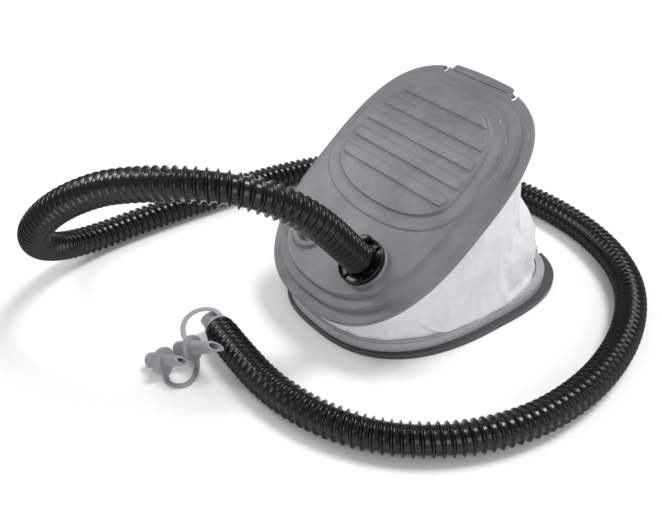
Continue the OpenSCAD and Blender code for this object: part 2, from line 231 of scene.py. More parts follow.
def ramp(nodes, links, source, low, high, start=0.3, end=0.7):
    """Turns a 0 to 1 value into a blend of two colours."""
    blend = nodes.new("ShaderNodeValToRGB")
    blend.color_ramp.elements[0].position = start
    blend.color_ramp.elements[1].position = end
    blend.color_ramp.elements[0].color = (*low, 1)
    blend.color_ramp.elements[1].color = (*high, 1)
    links.new(source, blend.inputs["Fac"])
    return blend.outputs["Color"]


def to_range(nodes, links, source, low, high):
    """Spreads the middle half of a 0 to 1 value over low to high."""
    change = nodes.new("ShaderNodeMapRange")
    change.inputs["From Min"].default_value = 0.25
    change.inputs["From Max"].default_value = 0.75
    change.inputs["To Min"].default_value = low
    change.inputs["To Max"].default_value = high
    links.new(source, change.inputs["Value"])
    return change.outputs["Result"]


def bump(nodes, links, source, depth, strength, before=None):
    """A relief so many metres deep, laid over another one if that is given."""
    node = nodes.new("ShaderNodeBump")
    node.inputs["Distance"].default_value = depth
    node.inputs["Strength"].default_value = strength
    links.new(source, node.inputs["Height"])
    if before:
        links.new(before, node.inputs["Normal"])
    return node.outputs["Normal"]


def tone(color, k):
    return tuple(c * k for c in color)


def moulded_plastic(name, color, roughness, mottle=0.08):
    """Satin moulding: a fine spark texture, slow flow marks in colour and gloss, and a few scuffs."""
    material, nodes, links, shader = new_material(name, color, roughness)
    slow = noise(nodes, links, scale=14, detail=4, rough=0.6)
    fine = noise(nodes, links, scale=1500, detail=2)
    links.new(ramp(nodes, links, slow, tone(color, 1 - mottle), tone(color, 1 + mottle)),
              shader.inputs["Base Color"])
    scuffs = noise(nodes, links, scale=45, detail=5, rough=0.65)
    links.new(to_range(nodes, links, scuffs, roughness - 0.06, roughness + 0.07),
              shader.inputs["Roughness"])
    waves = bump(nodes, links, slow, depth=0.0012, strength=0.25)
    links.new(bump(nodes, links, fine, depth=0.00006, strength=0.5, before=waves),
              shader.inputs["Normal"])
    return material


def glossy_plastic(name, color, roughness):
    """Shiny extruded plastic, with faint die lines and dust in its gloss."""
    material, nodes, links, shader = new_material(name, color, roughness)
    slow = noise(nodes, links, scale=60, detail=4, rough=0.6)
    links.new(ramp(nodes, links, slow, tone(color, 0.8), tone(color, 1.35)),
              shader.inputs["Base Color"])
    links.new(to_range(nodes, links, slow, roughness - 0.05, roughness + 0.06),
              shader.inputs["Roughness"])
    fine = noise(nodes, links, scale=420)
    links.new(bump(nodes, links, fine, depth=0.00005, strength=0.2), shader.inputs["Normal"])
    shader.inputs["Specular IOR Level"].default_value = 0.38
    return material


def coated_fabric(name, color):
    """Coated cloth: a fine plain weave under a thin soft coating, with slight clouding."""
    material, nodes, links, shader = new_material(name, color, 0.55)
    place = nodes.new("ShaderNodeTexCoord")
    threads = []
    for direction in ("X", "Z"):
        wave = nodes.new("ShaderNodeTexWave")
        wave.bands_direction = direction
        wave.inputs["Scale"].default_value = 330
        wave.inputs["Distortion"].default_value = 0.6
        links.new(place.outputs["Object"], wave.inputs["Vector"])
        threads.append(wave.outputs["Fac"])
    weave = nodes.new("ShaderNodeMath")
    weave.operation = "MULTIPLY"
    links.new(threads[0], weave.inputs[0])
    links.new(threads[1], weave.inputs[1])
    clouds = noise(nodes, links, scale=22, detail=5, rough=0.62)
    links.new(ramp(nodes, links, clouds, tone(color, 0.86), tone(color, 1.04)),
              shader.inputs["Base Color"])
    links.new(to_range(nodes, links, clouds, 0.42, 0.6), shader.inputs["Roughness"])
    crumple = noise(nodes, links, scale=45, detail=5, rough=0.6)
    creases = bump(nodes, links, crumple, depth=0.003, strength=0.4)
    links.new(bump(nodes, links, weave.outputs[0], depth=0.00012, strength=0.4, before=creases),
              shader.inputs["Normal"])
    shader.inputs["Sheen Weight"].default_value = 0.15
    return material


def rubber(name, color):
    """Matt rubber with a grey bloom in patches."""
    material, nodes, links, shader = new_material(name, color, 0.6)
    bloom = noise(nodes, links, scale=80, detail=4, rough=0.6)
    links.new(ramp(nodes, links, bloom, color, tone(color, 2.2)), shader.inputs["Base Color"])
    fine = noise(nodes, links, scale=900, detail=2)
    links.new(bump(nodes, links, fine, depth=0.00008, strength=0.5), shader.inputs["Normal"])
    return material


def plated_steel(name, color):
    """Zinc-plated steel with drawn lines."""
    material, nodes, links, shader = new_material(name, color, 0.3, 1.0)
    lines = noise(nodes, links, scale=120, detail=4, rough=0.6, stretch=(1, 8, 8))
    links.new(ramp(nodes, links, lines, tone(color, 0.75), color), shader.inputs["Base Color"])
    links.new(to_range(nodes, links, lines, 0.22, 0.42), shader.inputs["Roughness"])
    links.new(bump(nodes, links, lines, depth=0.00005, strength=0.3), shader.inputs["Normal"])
    return material


def make_materials():
    return {
        "treadle_plastic": moulded_plastic("treadle_plastic", (0.15, 0.155, 0.165), 0.44,
                                           mottle=0.26),
        "dark_plastic": moulded_plastic("dark_plastic", (0.045, 0.048, 0.052), 0.42),
        "light_plastic": moulded_plastic("light_plastic", (0.34, 0.35, 0.365), 0.4),
        "coated_fabric": coated_fabric("coated_fabric", (0.74, 0.755, 0.775)),
        "hose_plastic": glossy_plastic("hose_plastic", (0.0015, 0.0015, 0.0018), 0.22),
        "flange_plastic": glossy_plastic("flange_plastic", (0.002, 0.002, 0.0024), 0.2),
        "nozzle_plastic": moulded_plastic("nozzle_plastic", (0.26, 0.27, 0.285), 0.45,
                                          mottle=0.06),
        "valve_plastic": moulded_plastic("valve_plastic", (0.17, 0.175, 0.185), 0.45),
        "valve_rubber": rubber("valve_rubber", (0.02, 0.02, 0.021)),
        "steel": plated_steel("steel", (0.6, 0.61, 0.62)),
    }


# ---------------------------------------------------------------- meshes

def new_object(name, points, faces, material):
    """A smooth-shaded mesh from points in mm."""
    mesh = bpy.data.meshes.new(name)
    mesh.from_pydata([tuple(p) for p in np.asarray(points) * MM], [], faces)
    mesh.materials.append(material)
    mesh.polygons.foreach_set("use_smooth", [True] * len(mesh.polygons))
    mesh.update()
    obj = bpy.data.objects.new(name, mesh)
    bpy.context.collection.objects.link(obj)
    return obj


def clean(obj, distance=1e-6):
    """Welds points that meet, drops faces without area, and turns all faces outwards."""
    work = bmesh.new()
    work.from_mesh(obj.data)
    bmesh.ops.remove_doubles(work, verts=work.verts, dist=distance)
    bmesh.ops.dissolve_degenerate(work, edges=work.edges, dist=distance)
    bmesh.ops.recalc_face_normals(work, faces=work.faces)
    work.to_mesh(obj.data)
    work.free()


def apply_modifiers(obj):
    """The object's mesh becomes what its modifiers made of it."""
    graph = bpy.context.evaluated_depsgraph_get()
    mesh = bpy.data.meshes.new_from_object(obj.evaluated_get(graph))
    obj.modifiers.clear()
    obj.data = mesh


def smooth_by_angle(obj, angle):
    """Smooth shading, but for edges sharper than the angle in degrees."""
    obj.data.polygons.foreach_set("use_smooth", [True] * len(obj.data.polygons))
    obj.data.set_sharp_from_angle(angle=math.radians(angle))


def round_edges(obj, radius, segments=3, angle=35):
    """Rounds each edge sharper than the angle in degrees to a radius in mm."""
    bevel = obj.modifiers.new("edges", "BEVEL")
    bevel.width = radius * MM
    bevel.segments = segments
    bevel.limit_method = "ANGLE"
    bevel.angle_limit = math.radians(angle)
    apply_modifiers(obj)


def ring_faces(rows, count):
    """Four-sided faces between rows of points, each row a closed ring."""
    return [(r * count + i, r * count + (i + 1) % count,
             (r + 1) * count + (i + 1) % count, (r + 1) * count + i)
            for r in range(rows - 1) for i in range(count)]


def rounded(node, radius):
    """A moulded piece in place of a CAD node: its shape with every sharp edge rounded to a radius."""
    source = frame["nodes"][node]
    mesh = source.data.copy()
    mesh.transform(source.matrix_world)
    obj = bpy.data.objects.new(node + "_moulding", mesh)
    bpy.context.collection.objects.link(obj)
    work = bmesh.new()
    work.from_mesh(mesh)
    bmesh.ops.remove_doubles(work, verts=work.verts, dist=5e-6)
    bmesh.ops.dissolve_limit(work, angle_limit=math.radians(1.5), verts=work.verts, edges=work.edges)
    work.to_mesh(mesh)
    work.free()
    round_edges(obj, radius, segments=2, angle=32)
    smooth_by_angle(obj, 40)
    normals = obj.modifiers.new("normals", "WEIGHTED_NORMAL")
    normals.keep_sharp = True
    apply_modifiers(obj)
    return obj


# ---------------------------------------------------------------- hose

HOSE_GAP = 0.5  # between the hose and the flange's floor
STRAIGHT_OUT = 22
ROUTE_STEPS = 24
ROUTE_PASSES = 60
RIDGE = (3.0, 2.25, 0.7, 0.1, 0, 0, 0, 0, 0, 0.1, 0.7, 2.25)  # height over one turn, in equal steps
RIDGE_PITCH = 8.2
HOSE_BODY_R = 13
HOSE_SIDES = 30
PLAIN_ENDS = 0.6  # turns over which the ridge dies out at both ends
PATH_EVERY = 6
POINTS_AT_ONCE = 4000


def hose_route():
    """The hose's route in mm: up from the treadle, over to the left, to the floor, round the heel."""
    start = open_up(PORT_X, PORT_Y, FLANGE_TOP + HOSE_GAP)
    up = np.array([0, -math.sin(OPEN), math.cos(OPEN)])
    low = HOSE_LOW
    return [start, start + STRAIGHT_OUT * up,
            (41, -156, 146), (35, -180, 169), (25, -207, 187), (8, -234, 197), (-15, -260, 199),
            (-46, -283, 193), (-82, -304, 180), (-118, -324, 158), (-150, -337, 132),
            (-180, -342, 103), (-208, -336, 74), (-233, -319, 48), (-253, -290, 28), (-265, -252, 18),
            (-270, -208, low), (-271, -150, low), (-270, -92, low), (-267, -34, low),
            (-259, 22, low), (-242, 78, low), (-210, 130, low), (-164, 172, low), (-110, 199, low),
            (-52, 211, low), (8, 214, low), (66, 206, low), (120, 185, low), (165, 151, low),
            (200, 103, low), (224, 48, low), (237, -12, low), (236, -76, low), (216, -137, low),
            (178, -187, low), (126, -219, low), (66, -233, low), (6, -231, low), (-38, -226.5, low)]


def soft_line(route, steps):
    """Catmull-Rom curve through the route."""
    p = np.array([route[0], *route, route[-1]], float)
    t = (np.arange(steps) / steps)[:, None]
    spans = [0.5 * (2 * b + (c - a) * t + (2 * a - 5 * b + 4 * c - d) * t ** 2
                    + (3 * b - a - 3 * c + d) * t ** 3)
             for a, b, c, d in zip(p[:-3], p[1:-2], p[2:-1], p[3:])]
    return np.vstack([*spans, p[-1:]])


def soften(line, passes):
    """The same line with its bends evened out, so that they have no kinks."""
    for _ in range(passes):
        line[1:-1] = 0.25 * line[:-2] + 0.5 * line[1:-1] + 0.25 * line[2:]
    return line


def ridge_pitch(s):
    """Pitch of the hose's ridge: close at the flange, pulled open where it hangs, even on the floor."""
    closed = 1.2 * (1 - ease(s, 20, 120))
    pulled = 0.6 * ease(s, 60, 160) * (1 - ease(s, 400, 560))
    return RIDGE_PITCH - closed + pulled


def stepped(line, steps):
    """The line with so many points for each turn of the ridge."""
    s = arc_length(line)
    turn = np.concatenate([[0], np.cumsum(np.diff(s) / ridge_pitch((s[1:] + s[:-1]) / 2))])
    count = int(round(turn[-1] * steps))
    even = np.linspace(0, turn[-1], count + 1)
    return np.stack([np.interp(even, turn, line[:, i]) for i in range(3)], 1)


def carried_frames(line):
    """Unit tangents and two normals that turn as little as possible along the line."""
    tangents = np.gradient(line, axis=0)
    tangents /= np.linalg.norm(tangents, axis=1)[:, None]
    side = np.array([1.0, 0, 0])
    sides = []
    for t in tangents:
        side = side - t * (side @ t)
        side /= np.linalg.norm(side)
        sides.append(side)
    sides = np.array(sides)
    return tangents, sides, np.cross(tangents, sides)


def make_hose(material):
    """Corrugated tube: one rounded ridge runs round it as a helix from end to end."""
    steps = len(RIDGE)
    route = soft_line(hose_route(), ROUTE_STEPS)
    route[:, 2] = np.maximum(route[:, 2], HOSE_LOW)
    line = stepped(soften(route, ROUTE_PASSES), steps)
    _, across, ups = carried_frames(line)
    last = len(line) - 1
    turns = np.arange(HOSE_SIDES) / HOSE_SIDES
    rows = np.arange(-steps, last + 1)
    at = rows[:, None] + steps * turns[None]
    place = np.clip(at, 0, last)
    whole = np.arange(last + 1)

    def along(values):
        return np.stack([np.interp(place, whole, values[:, i]) for i in range(3)], -1)

    radius = HOSE_BODY_R + np.array(RIDGE)[rows % steps][:, None] * np.ones_like(at)
    ridged = np.clip(np.minimum(place, last - place) / (steps * PLAIN_ENDS), 0, 1)
    radius = HOSE_BODY_R + (radius - HOSE_BODY_R) * ridged
    angle = 2 * np.pi * turns[None, :, None]
    outwards = along(across) * np.cos(angle) + along(ups) * np.sin(angle)
    points = along(line) + radius[..., None] * outwards
    total, sides = len(rows), HOSE_SIDES
    faces = []
    for i in range(total - 1):
        for k in range(sides):
            j, step = (k + 1, 0) if k + 1 < sides else (0, steps)
            if i + 1 + step >= total:
                continue
            faces.append((i * sides + k, (i + 1) * sides + k, (i + 1 + step) * sides + j,
                          (i + step) * sides + j))
    hose = new_object("corrugated_hose", points.reshape(-1, 3), faces, material)
    clean(hose, 2e-5)
    close_ends(hose)
    return hose, line


def close_ends(obj):
    """Fills the open ends with a face each."""
    work = bmesh.new()
    work.from_mesh(obj.data)
    open_edges = [e for e in work.edges if e.is_boundary]
    bmesh.ops.holes_fill(work, edges=open_edges, sides=0)
    loose = [v for v in work.verts if not v.link_faces]
    bmesh.ops.delete(work, geom=loose, context="VERTS")
    bmesh.ops.recalc_face_normals(work, faces=work.faces)
    work.to_mesh(obj.data)
    work.free()


def bend_hose(hose, line):
    """Bakes the hose's placement into its mesh, and finds for each point how far along the route it
    lies.
    """
    s = arc_length(line)
    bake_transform(hose)
    keep = line[::PATH_EVERY]
    keep_s = s[::PATH_EVERY]
    points = np.array([v.co for v in hose.data.vertices]) / MM
    near = np.empty(len(points))
    for i in range(0, len(points), POINTS_AT_ONCE):
        part = slice(i, i + POINTS_AT_ONCE)
        gap = np.linalg.norm(points[part, None] - keep[None], axis=2)
        near[part] = keep_s[gap.argmin(1)]


# ---------------------------------------------------------------- bellows

CLOTH_AROUND = 360
CLOTH_ROWS = 34
CLOTH_LOW = 15
CLOTH_LOW_INSET = 15.6
CLOTH_HIGH = 50
CLOTH_HIGH_INSET = 8.3
CLOTH_THICK = 0.8
CLOTH_FRAMES = 24
CUT_TOO_LARGE = 0.016
MOST_SAG = 7.0
FULL_GAP = 120  # opening at which the cloth has all its slack
BELLY = 9
BELLY_TOP = 0.55
WAIST = 8
WAIST_FOOT = 0.35
CREASE = 4.6


def cloth_edges():
    """The cloth's lower and upper hems, with the treadle open."""
    x, y = even_outline(CLOTH_LOW_INSET, CLOTH_AROUND)
    low = np.stack([x, y + WIDE_Y - RIM_BACK, np.full_like(x, CLOTH_LOW)], 1)
    x, y = even_outline(CLOTH_HIGH_INSET, CLOTH_AROUND)
    high = np.array([open_up(a, b + WIDE_Y + TREADLE_SHIFT, CLOTH_HIGH) for a, b in zip(x, y)])
    return low, high


def relax_cloth(obj, pinned):
    """Cloth simulation: slightly too large a cut of fabric, held along both hems."""
    group = obj.vertex_groups.new(name="hems")
    group.add(pinned, 1.0, "REPLACE")
    cloth = obj.modifiers.new("cloth", "CLOTH")
    settings = cloth.settings
    settings.quality = 6
    settings.mass = 0.25
    settings.tension_stiffness = 12
    settings.compression_stiffness = 12
    settings.shear_stiffness = 4
    settings.bending_stiffness = 0.9
    settings.vertex_group_mass = "hems"
    settings.shrink_min = -CUT_TOO_LARGE
    cloth.collision_settings.use_self_collision = False
    cloth.point_cache.frame_start = 1
    cloth.point_cache.frame_end = CLOTH_FRAMES
    scene = bpy.context.scene
    for number in range(1, CLOTH_FRAMES + 1):
        scene.frame_set(number)
    apply_modifiers(obj)
    scene.frame_set(1)
    obj.vertex_groups.clear()


def limit_sag(obj, rest):
    """No point lies further from its place before the simulation than the cloth has slack for."""
    got = np.array([v.co for v in obj.data.vertices]) / MM
    move = got - rest
    size = np.linalg.norm(move, axis=1)[:, None]
    got = rest + move * np.minimum(1, MOST_SAG / np.maximum(size, 1e-6))
    obj.data.vertices.foreach_set("co", (got * MM).ravel())
    obj.data.update()


def fold_noise(point):
    """Soft creases, from -1 to 1: broad ones that run slanting down the cloth, and some finer."""
    x, y, z = point
    broad = turbulence.noise(Vector((x * 0.022 + z * 0.012, y * 0.022 + z * 0.01, z * 0.012)))
    fine = turbulence.noise(Vector((x * 0.06 - z * 0.03, y * 0.06, z * 0.035 + 9)))
    return broad + 0.75 * fine


def slack_wall(low, high):
    """Rows of points from hem to hem: out in a belly low down, in to a waist above it, and creased."""
    t = np.linspace(0, 1, CLOTH_ROWS)[:, None, None]
    flat = low[None] * (1 - t) + high[None] * t
    gap = np.linalg.norm(high - low, axis=1)[None, :, None]
    centre = np.array([0, WIDE_Y, 0])
    out = (flat - centre) * np.array([1, 1, 0])
    out /= np.maximum(np.linalg.norm(out, axis=2)[..., None], 1)
    slack = np.minimum(gap / FULL_GAP, 1)
    belly = BELLY * np.sin(np.pi * np.clip(t / BELLY_TOP, 0, 1)) * slack
    waist = WAIST * np.sin(np.pi * np.clip((t - WAIST_FOOT) / (1 - WAIST_FOOT), 0, 1)) * slack
    creases = np.array([[fold_noise(point) for point in row] for row in flat])[..., None]
    loose = np.minimum(4 * t * (1 - t) * 1.6, 1) * (0.25 + 0.75 * slack)
    return (flat + out * (belly - waist + CREASE * creases * loose)).reshape(-1, 3)


def make_bellows(material):
    """Fabric wall between the base's rim and the treadle: held at both hems, slack between them."""
    rest = slack_wall(*cloth_edges())
    rows, around = CLOTH_ROWS, CLOTH_AROUND
    bellows = new_object("bellows_cloth", rest, ring_faces(rows, around), material)
    bellows.data.attributes.new("height", "FLOAT", "POINT").data.foreach_set(
        "value", np.repeat(np.linspace(0, 1, rows), around).astype(np.float32))
    relax_cloth(bellows, [*range(around), *range((rows - 1) * around, rows * around)])
    limit_sag(bellows, rest)
    thick = bellows.modifiers.new("thickness", "SOLIDIFY")
    thick.thickness = CLOTH_THICK * MM
    thick.offset = -1
    apply_modifiers(bellows)
    bellows.data.polygons.foreach_set("use_smooth", [True] * len(bellows.data.polygons))
    heights = np.empty(len(bellows.data.vertices), np.float32)
    bellows.data.attributes["height"].data.foreach_get("value", heights)
    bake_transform(bellows)
    bellows.data.attributes.remove(bellows.data.attributes["height"])
    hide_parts("bellows")


# ---------------------------------------------------------------- treadle

# Insets of the outer rings of points; the inner ones shrink towards the plate's centre.
RINGS_OUT = [0, 0.1, 0.35, 0.75, 1.2, 1.8, 2.6, *np.arange(3.5, 40, 0.75)]
RINGS_IN = 150
AROUND = 760
PLATE_CENTRE = -8
EDGE_ROUND = 1.1
# Each rise: its height, and the insets between which it goes up.
TERRACES = ((6.4, 10.3, 12.7), (6.3, 21.3, 23.7))
SHOULDER = (1.5, 21)
# Distances from the toe between which the terraces turn into a smooth shoulder, and back again.
SHOULDER_STARTS = (40, 66)
SHOULDER_ENDS = (172, 214)
PAD_BACK = 165
PAD_HALF_WIDTH = 80
PAD_HEEL = 90
PAD_TOE = 43
PAD_HEEL_ROUND = 3
PAD_TOE_ROUND = 2.3
PAD_SEARCH = 26
# The rises towards the pad: height, and the depths into its outline between which each goes up.
PAD_STEPS = ((0.8, -15.6, -14.4), (2.3, -0.7, 0.5))
BAR_RISE = 2.0
BAR_ENDS = (3.3, 4.7)
BAR_FIRST = 149
BAR_PITCH = 21.7
BAR_COUNT = 5
BAR_WIDTH = 11
BAR_EDGE = 0.5
COLLAR_WALL = (22.0, 24.2)
# The skirt's section, from the rim's edge down and round to the underside: inset, height.
SKIRT = ((0, 50.5), (0, 48.8), (0.5, 48.2), (2.6, 48.2), (3, 48.6), (3, 50.3))
SKIRT_WALL = 3
WELL_R = 23
WELL_DEPTH = 14
PORT_R = 17.05
SEAT_R = 19.25
SEAT_TOP = 63.2
KEYHOLE_X = 47.5
KEYHOLE_R = 3.4
KEYHOLE_SLOT = 2.2
KEYHOLE_BACK = 3
KEYHOLE_OUT = 9
GROOVE_HALF = 38
GROOVE_BACK = (2.2, 1)
GROOVE_FLOOR = 52.4
# Heights between which the cutting shapes reach, through the skirt and through the deck.
SKIRT_CUT = (40, 60)
DECK_CUT = (50, 80)
GRIP_LOW = 48.2
GRIP_TOP = 52.8
GRIP_HALF = 39
GRIP_CORNER = (2.5, 0.8)
GRIP_BOW = 1.5
ARM_X = 22
ARM_HALF = 4
ARM_TOP = 51
EYE_R = 5
SHARP = 50


def pad_inset(x, back):
    """How far outside the foot pad's egg shape each point lies, in mm."""
    low, high = np.full(x.shape, 0.5 - PAD_TOE), np.full(x.shape, 60.0)
    heel = back > 0
    power = np.where(heel, PAD_HEEL_ROUND, PAD_TOE_ROUND)
    for _ in range(PAD_SEARCH):
        m = (low + high) / 2
        reach = np.where(heel, PAD_HEEL + np.minimum(m, 5), PAD_TOE + m)
        outside = (np.abs(x) / (PAD_HALF_WIDTH + m)) ** power + (np.abs(back) / reach) ** power > 1
        low, high = np.where(outside, m, low), np.where(outside, high, m)
    return low


def treadle_height(x, y, inset):
    """Top of the level treadle: terraces at the toe and heel, smooth shoulders, foot pad, tread bars."""
    v = y + TOE_LENGTH
    round_in = 1 - np.clip(inset / EDGE_ROUND, 0, 1)
    edge = -EDGE_ROUND * (1 - np.sqrt(1 - round_in ** 2))
    steps = sum(rise * ease(inset, start, end) for rise, start, end in TERRACES)
    shoulder = DECK_RISE * ease(inset, *SHOULDER)
    side = ease(v, *SHOULDER_STARTS) * (1 - ease(v, *SHOULDER_ENDS))
    m = pad_inset(x, v - PAD_BACK)
    pad = sum(rise * ease(-m, start, end) for rise, start, end in PAD_STEPS)
    bars = sum(ease(v, a - BAR_EDGE, a + BAR_EDGE)
               * (1 - ease(v, a + BAR_WIDTH - BAR_EDGE, a + BAR_WIDTH + BAR_EDGE))
               for a in BAR_FIRST + BAR_PITCH * np.arange(BAR_COUNT))
    pad = pad + BAR_RISE * ease(-m, *BAR_ENDS) * bars
    port = np.hypot(np.abs(x) - PORT_X, v - PORT_V)
    raised = (COLLAR_TOP - RIM_Z - DECK_RISE) * (1 - ease(port, *COLLAR_WALL))
    return RIM_Z + edge + steps * (1 - side) + shoulder * side + np.maximum(pad, raised)


def plate_rings():
    """Rings of points over the whole plate, closer together at its edge, and the inset of each."""
    rings = [even_outline(d, AROUND) for d in RINGS_OUT]
    x, y = rings[-1]
    for u in np.linspace(1, 0, RINGS_IN + 1)[1:-1]:
        rings.append((x * u, PLATE_CENTRE + (y - PLATE_CENTRE) * u))
    insets = np.array([*RINGS_OUT, *[RINGS_OUT[-1]] * (RINGS_IN - 1)])
    return np.array(rings), insets


def treadle_shell():
    """Closed shell: top, rounded rim, skirt and underside, in the level position."""
    rings, insets = plate_rings()
    x, y = rings[:, 0], rings[:, 1]
    top = treadle_height(x, y, insets[:, None] * np.ones_like(x))
    inner = insets >= SKIRT_WALL
    port = np.hypot(np.abs(x) - PORT_X, y + TOE_LENGTH - PORT_V)
    under = top - WALL
    under = np.where(port < WELL_R, np.minimum(under, COLLAR_TOP - WELL_DEPTH), under)
    rows = [np.stack([x[i], y[i], top[i]], 1) for i in range(len(x) - 1, -1, -1)]
    for inset, z in SKIRT:
        a, b = even_outline(inset, AROUND)
        rows.append(np.stack([a, b, np.full(AROUND, z)], 1))
    rows += [np.stack([x[i], y[i], under[i]], 1) for i in range(len(x)) if inner[i]]
    points = np.array(rows)
    count = len(points)
    faces = ring_faces(count, AROUND)
    faces.append(tuple(range(AROUND - 1, -1, -1)))
    faces.append(tuple((count - 1) * AROUND + i for i in range(AROUND)))
    return points.reshape(-1, 3), faces


def prism(name, outline_mm, low, high, material, radius=0.0):
    """A flat shape between two heights, with its edges rounded."""
    n = len(outline_mm)
    points = [(x, y, z) for z in (low, high) for x, y in outline_mm]
    faces = [(i, (i + 1) % n, n + (i + 1) % n, n + i) for i in range(n)]
    faces += [tuple(range(n - 1, -1, -1)), tuple(range(n, 2 * n))]
    obj = new_object(name, points, faces, material)
    if radius:
        round_edges(obj, radius)
    return obj


def circle(x, y, r, count=96):
    turns = [2 * math.pi * i / count for i in range(count)]
    return [(x + r * math.cos(a), y + r * math.sin(a)) for a in turns]


def box_outline(x0, x1, y0, y1):
    return [(x0, y0), (x1, y0), (x1, y1), (x0, y1)]


def cut(obj, cutter):
    """Takes one shape out of another, and removes the first."""
    change = obj.modifiers.new("cut", "BOOLEAN")
    change.operation = "DIFFERENCE"
    change.solver = "EXACT"
    change.object = cutter
    apply_modifiers(obj)
    bpy.data.objects.remove(cutter)


def join(main, others):
    """The others become part of the main object's mesh."""
    bpy.ops.object.select_all(action="DESELECT")
    for o in (main, *others):
        o.select_set(True)
    bpy.context.view_layer.objects.active = main
    bpy.ops.object.join()


def turn_open(obj, shift):
    """Moves a shape drawn level, in mm about the widest line, to where the open treadle holds it."""
    turn = (Matrix.Translation(Vector((0, HINGE_Y, HINGE_Z)) * MM) @ Matrix.Rotation(OPEN, 4, "X")
            @ Matrix.Translation(Vector((0, -HINGE_Y, -HINGE_Z)) * MM)
            @ Matrix.Translation(Vector(shift) * MM))
    obj.data.transform(turn)


def cut_openings(treadle, material):
    """Both ports with their valve seats, the keyholes on each side of the grip, and its groove."""
    port_y = PORT_V - TOE_LENGTH
    hole_y = HEEL_CUT - KEYHOLE_BACK
    for side in (-1, 1):
        port_x = side * PORT_X
        hole_x = side * KEYHOLE_X
        slot = box_outline(hole_x - KEYHOLE_SLOT, hole_x + KEYHOLE_SLOT,
                           hole_y, HEEL_CUT + KEYHOLE_OUT)
        for shape, (low, high) in ((circle(port_x, port_y, PORT_R), DECK_CUT),
                                   (circle(port_x, port_y, SEAT_R), (DECK_CUT[0], SEAT_TOP)),
                                   (circle(hole_x, hole_y, KEYHOLE_R, 48), SKIRT_CUT),
                                   (slot, SKIRT_CUT)):
            cut(treadle, prism("cut", shape, low, high, material))
    groove = box_outline(-GROOVE_HALF, GROOVE_HALF, *(HEEL_CUT - back for back in GROOVE_BACK))
    cut(treadle, prism("cut", groove, GROOVE_FLOOR, SKIRT_CUT[1], material))


def make_grip(material):
    """The finger tab behind the heel, with a slightly curved edge."""
    corner_x, corner_y = GRIP_HALF + GRIP_CORNER[0], HEEL_CUT - GRIP_CORNER[1]
    tab = [(-corner_x, corner_y)]
    tab += [(x, HEEL_CUT + GRIP_REACH - GRIP_BOW * (x / GRIP_HALF) ** 2)
            for x in np.linspace(-GRIP_HALF, GRIP_HALF, 25)]
    tab += [(corner_x, corner_y)]
    return prism("grip", tab[::-1], GRIP_LOW, GRIP_TOP, material, EDGE_ROUND)


def make_arm(x, material):
    """A hinge arm under the toe: a flat plate that ends in a round eye about the pin."""
    v = HINGE_BACK - TREADLE_SHIFT - TOE_LENGTH
    side = [(v - ARM_HALF, ARM_TOP), (v - ARM_HALF, HINGE_Z)]
    side += [(v - EYE_R * math.cos(a), HINGE_Z - EYE_R * math.sin(a))
             for a in np.linspace(0.2, 2.94, 13)]
    side += [(v + ARM_HALF, HINGE_Z), (v + ARM_HALF, ARM_TOP)]
    arm = prism("arm", side, x - ARM_HALF, x + ARM_HALF, material, 0.4)
    arm.data.transform(Matrix(((0, 0, 1, 0), (1, 0, 0, 0), (0, 1, 0, 0), (0, 0, 0, 1))))
    return arm


def make_treadle(material):
    """The moulded top plate: shell, openings, grip and hinge arms in one piece."""
    treadle = new_object("treadle_moulding", *treadle_shell(), material)
    cut_openings(treadle, material)
    others = [make_grip(material), make_arm(-ARM_X, material), make_arm(ARM_X, material)]
    for part in (treadle, *others):
        smooth_by_angle(part, SHARP)
    join(treadle, others)
    turn_open(treadle, (0, WIDE_Y + TREADLE_SHIFT, 0))
    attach(treadle, "treadle")
    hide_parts("top_plate")


# ---------------------------------------------------------------- hose flange

# The dish and its spigot, as radius and height above the seat.
FLANGE_PROFILE = ((24, 0), (24, 5.6), (23.5, 6.2), (22.8, 6.2), (22.2, 2.4), (17.6, 1.8), (17.3, 3.9),
                  (16.6, 3.9), (16.2, 3.2), (13.6, 3.2), (13.6, -9.1), (16.05, -9.1), (16.05, -5),
                  (17.0, -4.6), (17.0, 0))
SMALL_EDGE = 0.4
RIB = (16.4, 22.9, -0.8, 0.8)
RIB_HEIGHTS = (1.2, 4.4)
RIB_ANGLES = range(15, 375, 60)
LUG = ((19.5, -5.4), (26.2, -4.6), (26.2, 4.6), (19.5, 5.4))
LUG_HEIGHTS = (0, 8.2)
LUG_EDGE = 1.2
LUG_ANGLE = 120
KEY = (15.5, 18.9, -4.2, 4.2)
KEY_HEIGHTS = (-9.1, -6)
KEY_ANGLES = (0, 180)


def lathe(name, profile, material, count=96):
    """Closed ring turned about Z from a profile of (radius, height) points in mm."""
    n = len(profile)
    angles = 2 * np.pi * np.arange(count) / count
    points = [(r * math.cos(a), r * math.sin(a), z) for a in angles for r, z in profile]
    faces = [(i * n + k, (i + 1) % count * n + k,
              (i + 1) % count * n + (k + 1) % n, i * n + (k + 1) % n)
             for i in range(count) for k in range(n)]
    obj = new_object(name, points, faces, material)
    round_edges(obj, 0.5)
    clean(obj)
    return obj


def flange_part(name, shape, heights, material, edge, angle):
    """A part that stands on the flange's seat, turned about Z by an angle in degrees."""
    seat = FLANGE_TOP - FLANGE_FLOOR
    part = prism(name, shape, seat + heights[0], seat + heights[1], material, edge)
    part.data.transform(Matrix.Rotation(math.radians(angle), 4, "Z"))
    return part


